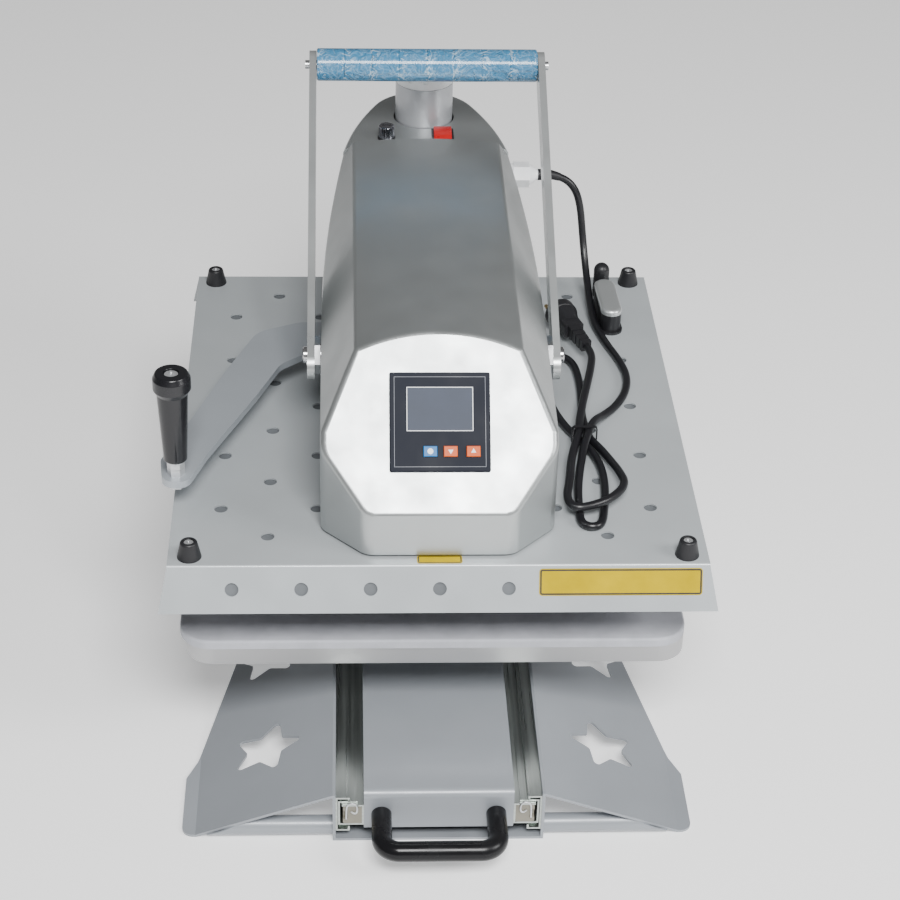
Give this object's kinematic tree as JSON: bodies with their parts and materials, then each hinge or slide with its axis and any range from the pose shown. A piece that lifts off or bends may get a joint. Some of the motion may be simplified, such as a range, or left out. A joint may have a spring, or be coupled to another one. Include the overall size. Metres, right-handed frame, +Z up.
{
  "type": "heat press",
  "caption": "Swing-away drawer heat press with a perforated cover, hooded swing arm, bail handle and cam-pressed platen.",
  "frame": {"origin": "on the table top under the middle of the platens, on the underside of the base channel", "axes": "+X to the operator's right, +Y to the back where the column stands, +Z up"},
  "size_m": [0.574, 0.9115, 0.5769],
  "materials": {
    "grey_paint": "semi-gloss powder coat",
    "light_paint": "satin silver paint",
    "cover_paint": "satin grey paint",
    "silver_paint": "silver hammered paint",
    "zinc_steel": "zinc plated",
    "slide_steel": "bright zinc, greased",
    "bright_steel": "ground and plated",
    "cast_aluminium": "milled",
    "heater_coat": "non-stick coated",
    "bronze": "sintered",
    "black_rubber": "moulded",
    "grey_silicone": "foamed, matt",
    "black_plastic": "moulded",
    "pale_plastic": "moulded",
    "taupe_plastic": "moulded",
    "blue_plastic": "moulded",
    "orange_plastic": "moulded",
    "red_plastic": "moulded",
    "lcd_plastic": "tinted",
    "blue_grip": "foam under film",
    "cord_plastic": "extruded",
    "wool": "fibre"
  },
  "bodies": {
    "base": {"base_sheet": "grey_paint", "base_tubes": "grey_paint", "column_foot": "grey_paint", "column": "bright_steel", "column_screws": "zinc_steel", "slide_outers": "slide_steel"},
    "slide_right": {"slide_middle_right": "slide_steel"},
    "slide_left": {"slide_middle_left": "slide_steel"},
    "drawer": {"slide_inners": "slide_steel", "slide_stops": "taupe_plastic", "drawer_tray": "grey_paint", "drawer_pull": "black_plastic", "drawer_screws": "zinc_steel", "platen_stand": "grey_paint", "lower_platen": "cast_aluminium", "silicone_pad": "grey_silicone"},
    "arm": {"swing_arm": "light_paint", "arm_cheeks": "light_paint", "arm_bushes": "bronze", "hood": "light_paint", "hood_brackets": "zinc_steel", "controller_case": "black_plastic", "controller_window": "lcd_plastic", "cable_gland": "pale_plastic", "fuse_holder": "black_plastic", "switch_frame": "black_plastic", "swing_lever": "light_paint", "lever_screws": "zinc_steel", "grip_bolt": "zinc_steel", "return_springs": "slide_steel", "cord_lead": "cord_plastic"},
    "upper_platen": {"heater_plate": "heater_coat", "insulation": "wool", "cover_plate": "cover_paint", "platen_studs": "zinc_steel", "bumpers": "black_rubber", "platen_fixings": "zinc_steel", "terminal_base": "black_plastic", "terminal_lid": "silver_paint", "terminal_boot": "black_rubber", "press_bridge": "zinc_steel", "guide_rods": "bright_steel", "roller_pin": "bright_steel", "cord_hank": "cord_plastic", "cord_tie": "cord_plastic", "plug": "cord_plastic"},
    "roller": {"cam_roller": "bright_steel"},
    "handle": {"handle_shaft": "bright_steel", "shaft_nuts": "zinc_steel", "handle_arms": "silver_paint", "grip_rod": "zinc_steel", "press_cam": "bright_steel"},
    "hand_grip": {"hand_grip": "blue_grip"},
    "lever_grip": {"lever_grip": "black_plastic"},
    "knob": {"pressure_knob": "pale_plastic"},
    "fuse_cap": {"fuse_cap": "black_plastic"},
    "rocker": {"switch_rocker": "red_plastic"},
    "button_set": {"button_set": "blue_plastic"},
    "button_down": {"button_down": "orange_plastic"},
    "button_up": {"button_up": "orange_plastic"}
  },
  "joints": [
    {"name": "drawer_slide", "type": "slide", "parent": "base", "child": "drawer", "axis": [0, -1, 0], "range_m": [0, 0.38]},
    {"name": "slide_right_run", "type": "slide", "parent": "base", "child": "slide_right", "axis": [0, -1, 0], "range_m": [0, 0.19]},
    {"name": "slide_left_run", "type": "slide", "parent": "base", "child": "slide_left", "axis": [0, -1, 0], "range_m": [0, 0.19]},
    {"name": "arm_swing", "type": "hinge", "parent": "base", "child": "arm", "pos_m": [0, 0.36, 0.4], "axis": [0, 0, 1], "range_deg": [0, 110]},
    {"name": "handle_swing", "type": "hinge", "parent": "arm", "child": "handle", "pos_m": [0, -0.05, 0.369], "axis": [1, 0, 0], "range_deg": [0, 110]},
    {"name": "platen_press", "type": "slide", "parent": "arm", "child": "upper_platen", "axis": [0, 0, -1], "range_m": [0, 0.042], "stiffness_N_per_m": 6000, "springref_m": -0.06, "deforming": ["return_springs", "cord_lead"]},
    {"name": "roller_turn", "type": "hinge", "parent": "upper_platen", "child": "roller", "pos_m": [0, -0.05, 0.33265], "axis": [1, 0, 0], "continuous": true},
    {"name": "grip_turn", "type": "hinge", "parent": "handle", "child": "hand_grip", "pos_m": [0, 0.28706, 0.55815], "axis": [1, 0, 0], "continuous": true},
    {"name": "lever_grip_turn", "type": "hinge", "parent": "arm", "child": "lever_grip", "pos_m": [-0.27, -0.193, 0.38], "axis": [0, 0, 1], "continuous": true},
    {"name": "pressure_turn", "type": "hinge", "parent": "arm", "child": "knob", "pos_m": [0, 0.36, 0.515], "axis": [0, 0, 1], "range_deg": [-360, 360]},
    {"name": "fuse_cap_turn", "type": "hinge", "parent": "arm", "child": "fuse_cap", "pos_m": [-0.046, 0.298, 0.47], "axis": [0, 0, 1], "range_deg": [0, 90]},
    {"name": "rocker_tilt", "type": "hinge", "parent": "arm", "child": "rocker", "pos_m": [0.021, 0.306, 0.461], "axis": [1, 0, 0], "range_deg": [-24, 0]},
    {"name": "button_set_press", "type": "slide", "parent": "arm", "child": "button_set", "axis": [0, 0.7314, -0.682], "range_m": [0, 0.001], "stiffness_N_per_m": 300, "springref_m": -0.001},
    {"name": "button_down_press", "type": "slide", "parent": "arm", "child": "button_down", "axis": [0, 0.7314, -0.682], "range_m": [0, 0.001], "stiffness_N_per_m": 300, "springref_m": -0.001},
    {"name": "button_up_press", "type": "slide", "parent": "arm", "child": "button_up", "axis": [0, 0.7314, -0.682], "range_m": [0, 0.001], "stiffness_N_per_m": 300, "springref_m": -0.001}
  ],
  "couplings": [
    {"joint": "slide_right_run", "follows": "drawer_slide", "ratio": 0.5},
    {"joint": "slide_left_run", "follows": "drawer_slide", "ratio": 0.5},
    {"joint": "platen_press", "follows": "handle_swing", "m_per_rad": 0.021876}
  ]
}
